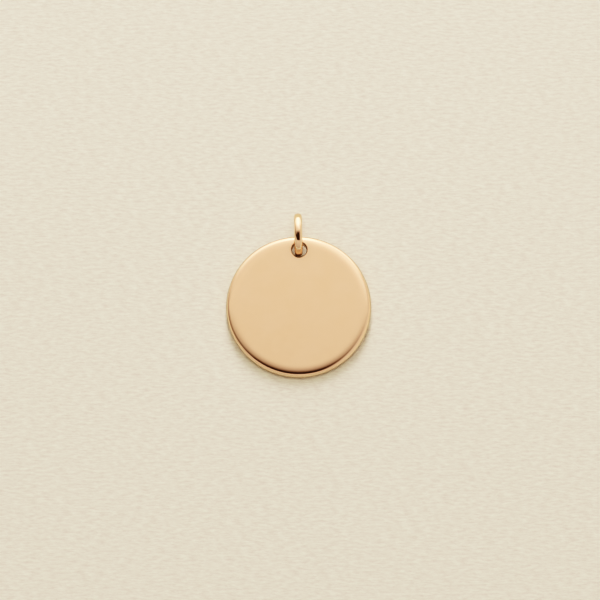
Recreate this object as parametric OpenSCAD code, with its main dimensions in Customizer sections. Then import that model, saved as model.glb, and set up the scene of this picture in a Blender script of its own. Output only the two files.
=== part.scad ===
// Disc pendant: a plain polished disc with one hole near its rim and a closed jump ring
// of round wire through it, lying on a flat surface as such a pendant comes to rest.
// The ring stands on its edge and props up the end of the disc that it runs through.
// +Y points from the disc to the ring, +Z up, and the surface is the plane z = 0.

/* [Disc] */
// Diameter of the disc
disc_d = 16; // [12:0.5:25]
// Thickness of the disc
disc_t = 1.2; // [1.2:0.05:1.3]
// How far in from the rim the face begins to roll off
edge_roll = 1.1; // [0.9:0.05:1.3]
// Radius of the round rim that the roll ends in
rim_r = 0.565; // [0.48:0.005:0.575]

/* [Hole] */
// Diameter of the hole
hole_d = 1.65; // [1.6:0.05:2]
// Metal left between the hole and the rim
web = 0.76; // [0.7:0.01:0.9]
// Rounding of both edges of the hole
lip_r = 0.12; // [0.1:0.01:0.2]

/* [Jump ring] */
// Thickness of the round wire
wire_d = 0.9; // [0.7:0.05:0.95]
// Inner diameter of the ring
ring_id = 3; // [2.8:0.1:3.6]
// How far the ring sits to the left of the disc's middle line
ring_shift = 0.13; // [0:0.01:0.15]
// How far the ring is turned out of the disc's middle plane, in degrees
ring_turn = 1.7; // [0:0.1:2]
// Gap between the ring and the disc where they would touch
gap = 0.04; // [0.02:0.01:0.08]

/* [Hidden] */
$fn = 120;

gold = [0.90, 0.78, 0.61];
ring_gold = [0.84, 0.70, 0.50];

disc_r = disc_d / 2;
half_t = disc_t / 2;
hole_r = hole_d / 2;
hole_y = disc_r - web - hole_r;

// The polished edge is two arcs, tangent to each other: a slack one that leaves the flat
// face, with its centre face_arc_drop below the middle plane, and the tight one of rim_r.
face_arc_r = (edge_roll * edge_roll + half_t * half_t - 2 * edge_roll * rim_r)
           / (2 * (half_t - rim_r));
face_arc_drop = face_arc_r - half_t;
arc_join = face_arc_r * (edge_roll - rim_r) / (face_arc_r - rim_r);

wire_r = wire_d / 2;
eye_r = ring_id / 2;
ring_r = eye_r + wire_d;

// Where the ring stands against the disc, as [y, z] from the disc's centre, in the plane
// x = 0. The web's lower edge hangs on the inside of the ring, and the outside of the
// ring leans on the upper edge of the hole's far side. The distances from the centres of
// those two rounded edges give the ring's centre, as the meeting point of two circles.
hung_edge = [hole_y + hole_r + lip_r, lip_r - half_t];
leaned_edge = [hole_y - hole_r - lip_r, half_t - lip_r];
hung_reach = eye_r - gap - lip_r;
leaned_reach = ring_r + gap + lip_r;
ring_yz = meeting_point(hung_edge, hung_reach, leaned_edge, leaned_reach);

// The disc's tilt, at which its lower edge and the ring come down to the same level.
// Each is round there, so its lowest point is a radius below the centre of its arc:
// run * sin(tilt) + rise * cos(tilt) = ring_r - face_arc_r.
run = ring_yz[0] + disc_r - edge_roll;
rise = ring_yz[1] - face_arc_drop;
tilt = asin((ring_r - face_arc_r) / norm([run, rise])) - atan2(rise, run);

// Height of the disc's centre, and its place behind the middle of the whole length
disc_z = ring_r - tilted(ring_yz)[1];
back_end = (disc_r - rim_r) * cos(tilt) + rim_r;
front_end = tilted(ring_yz)[0] + ring_r;
disc_y = (back_end - front_end) / 2;

// How far the hole is cut past each face
overshoot = 0.5;

// Meeting point of two circles in a plane, the one on the right of the way from a to b
function meeting_point(a, reach_a, b, reach_b) =
    let (apart = norm(b - a),
         along = (reach_a * reach_a - reach_b * reach_b + apart * apart) / (2 * apart),
         aside = sqrt(reach_a * reach_a - along * along),
         way = (b - a) / apart)
    a + along * way + aside * [way[1], -way[0]];

// A [y, z] place on the level disc, carried along as the disc tilts about its centre
function tilted(yz) =
    [yz[0] * cos(tilt) - yz[1] * sin(tilt), yz[0] * sin(tilt) + yz[1] * cos(tilt)];

// Half of the disc's section: the flat middle, the two slack arcs, and the rim's arc
module disc_section() {
    roll_start = disc_r - edge_roll;
    translate([0, -half_t]) square([roll_start, disc_t]);
    intersection() {
        translate([roll_start, -face_arc_drop]) circle(r = face_arc_r);
        translate([roll_start, face_arc_drop]) circle(r = face_arc_r);
        translate([roll_start, -half_t]) square([arc_join, disc_t]);
    }
    translate([disc_r - rim_r, 0]) circle(r = rim_r);
}

// Half of the hole's section: straight through, and flared to a rounded lip at each face
module hole_section() {
    translate([0, -half_t - overshoot]) square([hole_r, disc_t + 2 * overshoot]);
    for (side = [-1, 1])
        difference() {
            translate([0, side * half_t - lip_r]) square([hole_r + lip_r, 2 * lip_r]);
            translate([hole_r + lip_r, side * (half_t - lip_r)]) circle(r = lip_r);
        }
}

module disc() {
    color(gold)
    translate([0, disc_y, disc_z])
    rotate([tilt, 0, 0])
    difference() {
        rotate_extrude() disc_section();
        translate([0, hole_y, 0]) rotate_extrude() hole_section();
    }
}

module jump_ring() {
    color(ring_gold)
    translate([-ring_shift, disc_y + tilted(ring_yz)[0], ring_r])
    rotate([0, 90, ring_turn])
    rotate_extrude() translate([eye_r + wire_r, 0]) circle(r = wire_r);
}

disc();
jump_ring();
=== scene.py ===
"""Disc pendant: the polished gold of the disc and its jump ring, as they lie on pale paper.

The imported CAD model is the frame, in metres, with z = 0 as the surface. Each CAD solid is
replaced by a finer piece in the same place, with the slack roll of a buffed edge. Sizes
below are in millimetres and angles in degrees, unless a comment says otherwise, and MM
turns millimetres into metres.
"""

import math

import bpy
import numpy as np
from mathutils import Matrix, Vector


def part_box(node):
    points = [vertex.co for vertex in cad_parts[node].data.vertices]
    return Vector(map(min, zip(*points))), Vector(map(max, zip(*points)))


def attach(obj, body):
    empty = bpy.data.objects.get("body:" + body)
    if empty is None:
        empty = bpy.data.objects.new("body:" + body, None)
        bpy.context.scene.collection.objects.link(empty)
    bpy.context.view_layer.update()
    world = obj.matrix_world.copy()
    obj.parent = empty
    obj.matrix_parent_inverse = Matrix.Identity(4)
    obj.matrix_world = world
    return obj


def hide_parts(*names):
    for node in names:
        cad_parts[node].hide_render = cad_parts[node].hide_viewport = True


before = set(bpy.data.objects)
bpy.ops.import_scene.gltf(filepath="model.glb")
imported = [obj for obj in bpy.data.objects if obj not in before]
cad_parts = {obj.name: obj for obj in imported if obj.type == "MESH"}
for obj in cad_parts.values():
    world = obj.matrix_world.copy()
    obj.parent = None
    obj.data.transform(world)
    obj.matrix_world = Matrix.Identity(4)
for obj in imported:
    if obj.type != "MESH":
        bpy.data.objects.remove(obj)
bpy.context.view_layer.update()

MM = 0.001
MICRON = 0.001 * MM
HAIR = 0.0025           # by so much the finer pieces stay inside the CAD solids' boxes

# Disc
HALF_THICK = 0.6
TILT = 4.2487           # the ring props up the disc's far end by this much
HOLE_R = 0.825
WEB = 0.76              # metal between the hole and the rim
LIP_R = 0.12            # rounding of the hole's edges
ROLL = 1.45             # how far in from the rim the face begins to fall off
ROLL_POWER = 3.5        # the higher, the flatter the roll's start
ROLL_SLOPE = math.tan(math.radians(7.0))    # where the slack roll runs into the round rim
RIM_SQUARENESS = 2.05   # 2 is a round rim; a little more has a fuller shoulder
CROWN = 0.01            # how much lower than its middle the face is at the rim

# Painted shade on the disc, which also dulls the gold: 0 is clean gold, and 1 is as brown,
# dark and dull as the hole's lips
WALL_SHADE = 0.55       # painted shade on the hole's wall, which is in shade
FACE_SHADE = 0.12       # painted shade on the face, close to the hole where the ring stands
SHADE_FADE = 0.35       # how far out the face's painted shade is down to 1 / e
RIM_SHADE = 0.55        # painted shade on the rim's side: a painted dark reflection of the contact shadow

# Jump ring
WIRE_R = 0.45
WIRE_SQUARENESS = 2.7   # 2 is a round wire; this one is a little flat on four sides
RING_TURN = 1.7         # out of the disc's middle plane

# Camera: the photographed frame is 600 pixels square
PICTURE = 600
PIXELS_PER_MM = 9.07
DISC_AT = (298.2, 306.6)    # pixel of the disc's centre, across and down
FROM_VERTICAL = 18.05
TURN = 0.55
LENS, SENSOR = 240.0, 36.0

# Colours
GOLD = (0.94, 0.73, 0.51)
DISC_EDGE_TINT = (0.97, 0.93, 0.88)     # at a grazing look
RING_EDGE_TINT = (0.84, 0.74, 0.64)
# The brown of the disc's painted shade, in and round the hole and on the rim's side
SHADE_BROWN = (0.20, 0.145, 0.10)
PAPER_CREAM = (0.86, 0.83, 0.70)
DAYLIGHT = (1.0, 0.773, 0.643)
GLOOM = (1.0, 0.367, 0.083)             # daylight where it is weakest
BACKDROP = (0.965, 0.84, 0.636)         # past the paper's edge
LAMPLIGHT = (1.0, 0.875, 0.74)
BACK_LAMPLIGHT = (1.0, 0.93, 0.90)

# By how much a pattern's darkest and lightest places scale the red, green and blue
CLOUD_TINTS = ((0.993, 0.985, 0.97), (1.005, 1.01, 1.02))
GRAIN_TINTS = ((0.89, 0.85, 0.85), (1.11, 1.15, 1.15))

# Hairlines on the gold: direction, how many to the millimetre, length, and a share that
# leaves the more of them in sight, the higher it is
HAIRLINES = ((12, 22, 5, 0.30), (63, 26, 4, 0.29), (118, 24, 4, 0.29), (155, 20, 6, 0.30))

# The sheet of daylight: its strength by the angle towards the back, and how it dims with
# the angle aside, half way up and high up
SHEET = ((-6, 0), (-3, 0.24), (0, 0.42), (3, 0.60), (5, 0.72), (7.5, 0.94), (8.5, 1.01),
         (9.5, 1.05), (11, 1.14), (14, 1.38), (20, 1.72), (30, 2.25), (40, 3.0), (50, 3.4))
MID_DIM = ((-65, 0.38), (-45, 0.52), (-25, 0.65), (-10, 0.73), (-4, 0.79), (4, 0.95),
           (10, 1.0), (25, 0.85), (45, 0.72))
HIGH_DIM = ((-60, 0.36), (-45, 0.44), (-30, 0.60), (-12, 0.74), (-4, 0.95), (2, 0.95),
            (10, 0.65))

# The film curve of the picture: its toe and its slow shoulder keep the brightest gold
# cream instead of yellow. Scene light in, picture light out.
FILM_CURVE = ((0, 0), (0.04, 0.018), (0.1, 0.065), (0.2, 0.175), (0.35, 0.345), (0.5, 0.50),
              (0.65, 0.615), (0.8, 0.708), (0.95, 0.778), (1.2, 0.865), (1.5, 0.94),
              (1.8, 0.975), (2.4, 1.0))


# Shapes

def closed_skin(name, points, painted_shade):
    """A mesh from a grid of points that closes on itself both ways, as a ring's skin does.

    points[i, j] is the place at step i of the first way and step j of the second. Face
    (i, j) joins it to the next step each way, and the steps wrap round at their ends. The
    UV map runs from 0 to 1 each way. The last argument is how much painted shade browns,
    darkens and dulls the gold at each point.
    """
    rows, columns = points.shape[:2]
    i, j = np.meshgrid(np.arange(rows), np.arange(columns), indexing="ij")
    corner_i = np.stack([i, i + 1, i + 1, i], axis=-1)
    corner_j = np.stack([j, j, j + 1, j + 1], axis=-1)
    corners = (corner_i % rows) * columns + corner_j % columns

    mesh = bpy.data.meshes.new(name)
    mesh.vertices.add(rows * columns)
    mesh.vertices.foreach_set("co", (points * MM).astype(np.float32).ravel())
    mesh.loops.add(corners.size)
    mesh.loops.foreach_set("vertex_index", corners.astype(np.int32).ravel())
    mesh.polygons.add(rows * columns)
    mesh.polygons.foreach_set("loop_start", np.arange(0, corners.size, 4, dtype=np.int32))
    mesh.update(calc_edges=True)
    mesh.shade_smooth()
    uv = np.stack([corner_i / rows, corner_j / columns], axis=-1)
    mesh.uv_layers.new(name="skin").data.foreach_set("uv", uv.astype(np.float32).ravel())
    layer = mesh.attributes.new("painted_shade", "FLOAT", "POINT")
    layer.data.foreach_set("value", painted_shade.astype(np.float32).ravel())
    mesh.validate()

    piece = bpy.data.objects.new(name, mesh)
    bpy.context.scene.collection.objects.link(piece)
    return piece


def box_middle(node):
    """The middle of a CAD node's box, in millimetres."""
    low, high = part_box(node)
    return np.array((low + high) / 2) / MM


def turned(points, axis, degrees):
    """The points turned about an axis through the origin."""
    return points @ np.array(Matrix.Rotation(math.radians(degrees), 3, axis)).T


def set_down(points):
    """The points lowered or lifted until the lowest is on z = 0."""
    return points - (0, 0, points[..., 2].min())


def rim_curve():
    """The rim's radius, and how far out on it, in radii, the slack roll runs into it.

    The rim is a quarter of the superellipse out^n + height^n = radius^n, which ends upright
    at the disc's widest. Its slope is (out / height)^(n - 1), so ROLL_SLOPE fixes where the
    roll meets it. The roll falls by slope / power times its length, and the height that
    leaves there fixes the radius.
    """
    ratio = ROLL_SLOPE ** (1 / (RIM_SQUARENESS - 1))
    height = (1 + ratio ** RIM_SQUARENESS) ** (-1 / RIM_SQUARENESS)
    out = ratio * height
    fall = ROLL_SLOPE / ROLL_POWER
    return (HALF_THICK - fall * ROLL) / (height - fall * (1 - out)), out


def face_height(across, disc_r):
    """Half the disc's thickness at a distance from its centre.

    Flat in the middle, then less by a power of the way along the slack roll, then the
    rim's superellipse. The crown takes off a little more, by the square of the distance.
    """
    radius, meets = rim_curve()
    roll_start, rim_start = disc_r - ROLL, disc_r - radius * (1 - meets)
    fall = ROLL_SLOPE / ROLL_POWER * (rim_start - roll_start)
    along = np.clip((across - roll_start) / (rim_start - roll_start), 0, 1)
    roll = HALF_THICK - fall * along ** ROLL_POWER
    out = np.clip(across - (disc_r - radius), 0, radius) / radius
    rim = radius * (1 - out ** RIM_SQUARENESS) ** (1 / RIM_SQUARENESS)
    height = np.where(across < rim_start, roll, rim)
    return height - CROWN * (across / disc_r) ** 2 * height / HALF_THICK


def face_stations(disc_r, lip_steps=8, flat_steps=48, roll_steps=20, rim_steps=24):
    """Steps from the hole's wall (0) to the rim (1), closest where the surface bends most.

    Measured on the longest way across the face: even angles round the lip, steps that
    widen over the flat, even steps down the slack roll, even angles round the rim.
    """
    longest = 2 * disc_r - WEB - 2 * HOLE_R
    radius, meets = rim_curve()
    roll_start, rim_start = longest - ROLL, longest - radius * (1 - meets)
    lip = LIP_R * (1 - np.cos(np.linspace(0, math.pi / 2, lip_steps + 1)))
    flat = LIP_R + (roll_start - LIP_R) * np.linspace(0, 1, flat_steps + 1) ** 1.5
    roll = np.linspace(roll_start, rim_start, roll_steps + 1)
    angles = np.linspace(math.asin(meets ** (RIM_SQUARENESS / 2)), math.pi / 2, rim_steps + 1)
    rim = longest - radius * (1 - np.sin(angles) ** (2 / RIM_SQUARENESS))
    return np.concatenate([lip, flat[1:], roll[1:], rim[1:]]) / longest


def disc_points(disc_r, around=384, wall_steps=6):
    """The disc's whole skin, level and centred on the origin, and its painted shade.

    Closed rings of points go up the hole's wall, out over the upper face and back in over
    the lower one. Each ring is a circle. Its centre slides from the hole's to the disc's
    and its radius grows from the hole's to the disc's as the station goes from 0 to 1. Its
    height is the face's, less the lip's quarter circle near the hole. The painted shade is 1
    on most of the lip and the wall's share inside the hole, where the hole is in shade, and
    fades by a power of e over the face round the hole, where the ring stands. It grows again
    to the rim's share on the middle third of the rim's side, a painted dark reflection of
    the contact shadow under the rim.
    """
    station = face_stations(disc_r)[:, None]
    hole_y = disc_r - WEB - HOLE_R
    angle = np.linspace(0, 2 * math.pi, around, endpoint=False)[None, :]
    radius = (1 - station) * HOLE_R + station * disc_r
    x = radius * np.sin(angle)
    y = (1 - station) * hole_y - radius * np.cos(angle)
    from_wall = np.hypot(x, y - hole_y) - HOLE_R
    to_wall = np.clip(LIP_R - from_wall, 0, LIP_R)
    height = face_height(np.hypot(x, y), disc_r) - (LIP_R - np.sqrt(LIP_R ** 2 - to_wall ** 2))
    height[-1] = 0.0

    upper = np.stack([x, y, height], axis=-1)
    lower = upper[-2::-1] * (1, 1, -1)
    up = np.linspace(-1, 1, wall_steps + 1)[1:-1, None]
    wall = np.stack([x[0] + 0 * up, y[0] + 0 * up, height[0] * up], axis=-1)

    # Painted shade on the hole's lip
    on_lip = np.clip(2.5 * to_wall / LIP_R, 0, 1)
    # Painted shade on the middle third of the rim's side, for the reflected contact shadow
    on_side = np.clip(2 - height / (HALF_THICK / 3), 0, 1)
    # Painted shade fading over the face round the hole
    painted_shade = np.maximum(on_lip, FACE_SHADE * np.exp(-from_wall / SHADE_FADE))
    painted_shade = painted_shade + RIM_SHADE * on_side
    # Painted shade inside the hole
    wall_shade = np.full(wall.shape[:2], WALL_SHADE)
    return (np.concatenate([wall, upper, lower]),
            np.concatenate([wall_shade, painted_shade, painted_shade[-2::-1]]))


def wire_points(ring_r, along=320, around=96):
    """The jump ring's skin about the origin: the wire carried round a circle.

    The ring stands upright in the plane x = 0, and ring_r is the radius of its middle line.
    The wire's section is the superellipse across^n + out^n = radius^n, in which each of the
    two is the sine or the cosine of an even turn, to the power 2 / n. Its radius is a hair
    less than WIRE_R.
    """
    way = np.linspace(0, 2 * math.pi, along, endpoint=False)[:, None]
    turn = np.linspace(0, 2 * math.pi, around, endpoint=False)
    waves = np.stack([np.sin(turn), np.cos(turn)])
    across, out = (WIRE_R - HAIR) * np.sign(waves) * np.abs(waves) ** (2 / WIRE_SQUARENESS)
    reach = ring_r + out
    return np.stack([across + 0 * way, -reach * np.sin(way), reach * np.cos(way)], axis=-1)


# Shader nodes

def add_node(tree, kind, wires, **settings):
    """Adds a shader node. wires gives inputs by name or number: an output, or a value."""
    made = tree.nodes.new("ShaderNode" + kind)
    for name, value in settings.items():
        setattr(made, name, value)
    for socket, value in wires.items():
        if isinstance(value, bpy.types.NodeSocket):
            tree.links.new(value, made.inputs[socket])
        else:
            made.inputs[socket].default_value = value
    return made


def arithmetic(tree, operation, *values):
    """The output of a Math node."""
    return add_node(tree, "Math", dict(enumerate(values)), operation=operation).outputs[0]


def ranged(tree, value, start, end, low, high, smooth=False):
    """value mapped from start..end to low..high, held at both ends."""
    kind = "SMOOTHSTEP" if smooth else "LINEAR"
    wires = {"Value": value, "From Min": start, "From Max": end, "To Min": low, "To Max": high}
    return add_node(tree, "MapRange", wires, interpolation_type=kind).outputs["Result"]


def draw_curve(mapping, curve, places):
    """Gives a curve of a curve mapping its points."""
    while len(curve.points) < len(places):
        curve.points.new(1.0, 1.0)
    for point, place in zip(curve.points, places):
        point.location = place
    mapping.update()


def plotted(tree, value, places):
    """value put through the smooth curve of places (value, result), held at both ends."""
    first, last = places[0][0], places[-1][0]
    top = max(result for _, result in places)
    curve = add_node(tree, "FloatCurve", {1: ranged(tree, value, first, last, 0, 1)})
    draw_curve(curve.mapping, curve.mapping.curves[0],
               [((at - first) / (last - first), result / top) for at, result in places])
    return arithmetic(tree, "MULTIPLY", curve.outputs[0], top)


def between(tree, share, low, high):
    """The number that is this share of the way from low to high."""
    return add_node(tree, "Mix", {0: share, 2: low, 3: high}, data_type="FLOAT").outputs[0]


def blended(tree, share, first, second):
    """The colour that is this share of the way from first to second."""
    colours = {socket: value if isinstance(value, bpy.types.NodeSocket) else (*value, 1)
               for socket, value in ((6, first), (7, second))}
    return add_node(tree, "Mix", {0: share, **colours}, data_type="RGBA").outputs[2]


def noise(tree, place, scale, detail=2.0, roughness=0.5):
    """Noise of about 0.5, with scale features to the millimetre."""
    wires = {"Vector": place, "Scale": scale, "Detail": detail, "Roughness": roughness}
    return add_node(tree, "TexNoise", wires).outputs[0]


def mottled(tree, pattern, colour, tints):
    """The colour, scaled by the first of two tints where a pattern is low and by the second
    where it is high."""
    dark, light = ([c * t for c, t in zip(colour, tint)] for tint in tints)
    return blended(tree, ranged(tree, pattern, 0.3, 0.7, 0, 1), dark, light)


def bumped(tree, height, microns, normal=None, sunk=False):
    """A normal tipped by a relief, over another normal if there is one.

    A height of 1 stands so many microns proud, or is sunk as deep.
    """
    wires = {"Height": height, "Distance": microns * MICRON, "Strength": 1.0}
    if normal is not None:
        wires["Normal"] = normal
    return add_node(tree, "Bump", wires, invert=sunk).outputs[0]


def in_millimetres(tree):
    """Object coordinates counted in millimetres."""
    place = add_node(tree, "TexCoord", {}).outputs["Object"]
    return add_node(tree, "Mapping", {"Vector": place, "Scale": (1 / MM,) * 3}).outputs[0]


# Materials

def new_material(name):
    """A material with an empty tree but for its shader and output."""
    material = bpy.data.materials.new(name)
    material.use_nodes = True
    tree = material.node_tree
    tree.nodes.clear()
    shader = add_node(tree, "BsdfPrincipled", {})
    add_node(tree, "OutputMaterial", {"Surface": shader.outputs[0]})
    return material, tree, shader


def hairlines(tree, place, degrees, fineness, length, share):
    """Sparse fine scratches that run one way: noise drawn out along them, cut to its peaks."""
    wires = {"Vector": place, "Rotation": (0, 0, math.radians(degrees)),
             "Scale": (1 / length, fineness, fineness)}
    drawn = add_node(tree, "Mapping", wires).outputs[0]
    return ranged(tree, noise(tree, drawn, 1.0, 3.0, 0.6), 1 - share, 1 - share + 0.08, 0, 1)


def polished_gold(name, edge_tint, haze):
    """Buffed gold plate, browned and darkened where its skin carries painted shade, which also
    dulls it.

    It has faint clouds in its colour and in its haze, which is its roughness, sparse
    hairlines four ways, a slight waviness and a fine grain.
    """
    material, tree, shader = new_material(name)
    place = in_millimetres(tree)
    # The skin's painted shade: it browns and darkens the gold's colour, and dulls it
    painted_shade = add_node(tree, "Attribute", {}, attribute_name="painted_shade").outputs["Fac"]
    gold = mottled(tree, noise(tree, place, 0.45, 3.0), GOLD, CLOUD_TINTS)
    tree.links.new(blended(tree, painted_shade, gold, SHADE_BROWN), shader.inputs["Base Color"])

    scratch = hairlines(tree, place, *HAIRLINES[0])
    for lines in HAIRLINES[1:]:
        scratch = arithmetic(tree, "MAXIMUM", scratch, hairlines(tree, place, *lines))

    mist = ranged(tree, noise(tree, place, 1.3, 4.0, 0.6), 0.3, 0.7, haze * 0.85, haze * 1.15)
    rough = arithmetic(tree, "MULTIPLY_ADD", scratch, 0.05, mist)
    rough = arithmetic(tree, "MULTIPLY_ADD", painted_shade, 0.3, rough)
    tree.links.new(rough, shader.inputs["Roughness"])

    normal = bumped(tree, noise(tree, place, 0.9, 1.0), 0.8)
    normal = bumped(tree, noise(tree, place, 5.0), 0.15, normal)
    normal = bumped(tree, scratch, 0.25, normal, sunk=True)
    tree.links.new(normal, shader.inputs["Normal"])
    shader.inputs["Metallic"].default_value = 1.0
    shader.inputs["Specular Tint"].default_value = (*edge_tint, 1)
    return material


def pale_paper(name):
    """Matt cream paper with a soft felt grain, drawn out along X."""
    material, tree, shader = new_material(name)
    place = add_node(tree, "Mapping", {"Vector": in_millimetres(tree),
                                       "Rotation": (0, 0, math.radians(-8)),
                                       "Scale": (0.25, 1.0, 1.0)}).outputs[0]
    grain = noise(tree, place, 4.0, 4.0, 0.7)
    tree.links.new(mottled(tree, grain, PAPER_CREAM, GRAIN_TINTS), shader.inputs["Base Color"])
    tree.links.new(bumped(tree, grain, 30), shader.inputs["Normal"])
    shader.inputs["Roughness"].default_value = 0.9
    shader.inputs["Specular IOR Level"].default_value = 0.1
    return material


# Pieces

def make_disc():
    """The disc, propped up at the far end as the CAD disc is."""
    low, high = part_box("disc")
    points, painted_shade = disc_points((high.x - low.x) / 2 / MM - HAIR)
    points = set_down(turned(points, "X", TILT) + box_middle("disc"))
    piece = closed_skin("polished_disc", points, painted_shade)
    piece.data.materials.append(polished_gold("buffed_disc_gold", DISC_EDGE_TINT, haze=0.12))
    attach(piece, "root")
    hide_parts("disc")


def make_jump_ring():
    """The jump ring, standing on its edge where the CAD ring does."""
    low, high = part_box("jump_ring")
    points = turned(wire_points((high.z - low.z) / 2 / MM - WIRE_R), "Z", RING_TURN)
    points = set_down(points + box_middle("jump_ring"))
    piece = closed_skin("polished_jump_ring", points, np.zeros(points.shape[:2]))
    piece.data.materials.append(polished_gold("buffed_wire_gold", RING_EDGE_TINT, haze=0.08))
    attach(piece, "root")
    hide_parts("jump_ring")


def make_floor(reach=2.0):
    """The paper, which reaches so many metres each way."""
    mesh = bpy.data.meshes.new("paper")
    mesh.from_pydata([(-reach, -reach, 0), (reach, -reach, 0), (reach, reach, 0),
                      (-reach, reach, 0)], [], [(0, 1, 2, 3)])
    mesh.materials.append(pale_paper("cream_paper"))
    floor = bpy.data.objects.new("paper", mesh)
    bpy.context.scene.collection.objects.link(floor)


# Camera and light

def make_camera():
    """Looks down at FROM_VERTICAL, turned by TURN, with the disc's centre at DISC_AT.

    It is as far away as makes a millimetre of the disc PIXELS_PER_MM pixels.
    """
    turn, lean = math.radians(TURN), math.radians(FROM_VERTICAL)
    right = Vector((math.cos(turn), math.sin(turn), 0))
    back = Vector((math.sin(turn) * math.sin(lean), -math.cos(turn) * math.sin(lean),
                   math.cos(lean)))
    up = back.cross(right)
    middle = (PICTURE - 1) / 2
    aside, down = ((at - middle) / PIXELS_PER_MM * MM for at in DISC_AT)
    aim = Vector(box_middle("disc")) * MM - right * aside + up * down
    distance = PICTURE / PIXELS_PER_MM * MM * LENS / SENSOR

    data = bpy.data.cameras.new("camera")
    data.lens, data.sensor_width = LENS, SENSOR
    data.clip_start, data.clip_end = 0.001, 10.0
    camera = bpy.data.objects.new("camera", data)
    camera.matrix_world = Matrix.Translation(aim + back * distance) @ Matrix(
        (right, up, back)).transposed().to_4x4()
    bpy.context.scene.collection.objects.link(camera)
    bpy.context.scene.camera = camera


def sheet_overhead(tree, back, aside):
    """How strong the sheet of daylight is: the stronger, the further towards the back.

    Away from the middle its hem hangs lower in front. It dims towards both sides, most at
    the far left: differently low down, half way up and high up.
    """
    hem = arithmetic(tree, "MULTIPLY", ranged(tree, back, -18, 8, 0, 0.9),
                     ranged(tree, arithmetic(tree, "ABSOLUTE", aside), 5, 20, 0, 1))
    sheet = arithmetic(tree, "MAXIMUM", plotted(tree, back, SHEET), hem)
    dim = ranged(tree, aside, -25, -65, 1, 0.45, smooth=True)
    dim = between(tree, ranged(tree, back, 10, 15, 0, 1, smooth=True),
                  dim, plotted(tree, aside, MID_DIM))
    dim = between(tree, ranged(tree, back, 18, 36, 0, 1, smooth=True),
                  dim, plotted(tree, aside, HIGH_DIM))
    return arithmetic(tree, "MULTIPLY", sheet, dim)


def light_in_front(tree, y, z, aside):
    """How strong the light in front is: dark where the viewer leans over, and pale below.

    The pale light's upper edge is higher at the left.
    """
    over_edge = arithmetic(tree, "MULTIPLY_ADD", z, 1.04, y)
    over_edge = arithmetic(tree, "ADD", over_edge, ranged(tree, aside, -10, -40, 0, -0.26))
    pale = between(tree, ranged(tree, over_edge, -0.03, 0.03, 1, 0, smooth=True), 0,
                   ranged(tree, z, 0.0, 0.6, 0.58, 0.88))
    dark = ranged(tree, aside, -18, -40, 0.05, 0.10)
    return arithmetic(tree, "MAXIMUM", pale, dark)


def lit_at_the_right(tree, level, back, aside):
    """The strength given as level, but evenly pale to the right of a slanting edge."""
    slant = arithmetic(tree, "SUBTRACT", aside, ranged(tree, back, 0, 60, 0, 18))
    slant = arithmetic(tree, "ADD", slant, ranged(tree, back, -10, 0, 9, 0))
    return between(tree, ranged(tree, slant, 20, 44, 0, 1, smooth=True), level,
                   ranged(tree, aside, 30, 80, 0.78, 1.05))


def make_daylight():
    """The soft daylight that the gold reflects, told by direction. The paper is lit by lamps.

    back is the angle above the level towards +Y, and aside the angle towards +X.
    """
    world = bpy.data.worlds.new("soft_daylight")
    bpy.context.scene.world = world
    world.cycles_visibility.diffuse = False
    world.use_nodes = True
    tree = world.node_tree
    tree.nodes.clear()
    way = add_node(tree, "TexCoord", {}).outputs["Generated"]
    x, y, z = add_node(tree, "SeparateXYZ", {0: way}).outputs
    aside, back = (arithmetic(tree, "DEGREES", arithmetic(tree, "ARCSINE", sine))
                   for sine in (x, y))

    level = arithmetic(tree, "MAXIMUM", sheet_overhead(tree, back, aside),
                       light_in_front(tree, y, z, aside))
    level = lit_at_the_right(tree, level, back, aside)
    tint = blended(tree, ranged(tree, level, 0, 0.4, 0, 1), GLOOM, DAYLIGHT)
    light = add_node(tree, "Background", {0: tint, 1: level})
    seen = add_node(tree, "Background", {0: (*BACKDROP, 1), 1: 1.0})
    camera = add_node(tree, "LightPath", {}).outputs["Is Camera Ray"]
    mixed = add_node(tree, "MixShader", {0: camera, 1: light.outputs[0], 2: seen.outputs[0]})
    add_node(tree, "OutputWorld", {"Surface": mixed.outputs[0]})


def make_lamp(name, place, width, length, watts, colour=LAMPLIGHT):
    """A soft lamp for the paper that the gold doesn't show. Place and size are in metres.

    The strongest is at the back, so that the shadow falls in front. The others fill the
    shadow with a warmer light.
    """
    data = bpy.data.lights.new(name, "AREA")
    data.shape, data.size, data.size_y = "RECTANGLE", width, length
    data.energy, data.color = watts, colour
    lamp = bpy.data.objects.new(name, data)
    lamp.location = place
    lamp.rotation_euler = (-lamp.location).to_track_quat("-Z", "Y").to_euler()
    lamp.visible_glossy = False
    bpy.context.scene.collection.objects.link(lamp)


def set_film():
    """Gives the picture the film curve, over the standard view."""
    view = bpy.context.scene.view_settings
    view.view_transform = "Standard"
    view.use_curve_mapping = True
    mapping = view.curve_mapping
    mapping.clip_max_x = FILM_CURVE[-1][0]
    draw_curve(mapping, mapping.curves[3], FILM_CURVE)


make_camera()
make_floor()
make_daylight()
make_lamp("back_lamp", (0.0, 0.39, 0.312), 0.14, 0.38, 1.95, BACK_LAMPLIGHT)
make_lamp("top_lamp", (0.0, 0.0, 0.5), 0.20, 0.20, 0.87)
make_lamp("front_lamp", (0.0, -0.28, 0.41), 0.40, 0.40, 0.36)
make_lamp("left_lamp", (-0.30, 0.0, 0.40), 0.42, 0.42, 0.425)
make_lamp("right_lamp", (0.30, 0.0, 0.40), 0.42, 0.42, 0.425)
set_film()
make_disc()
make_jump_ring()
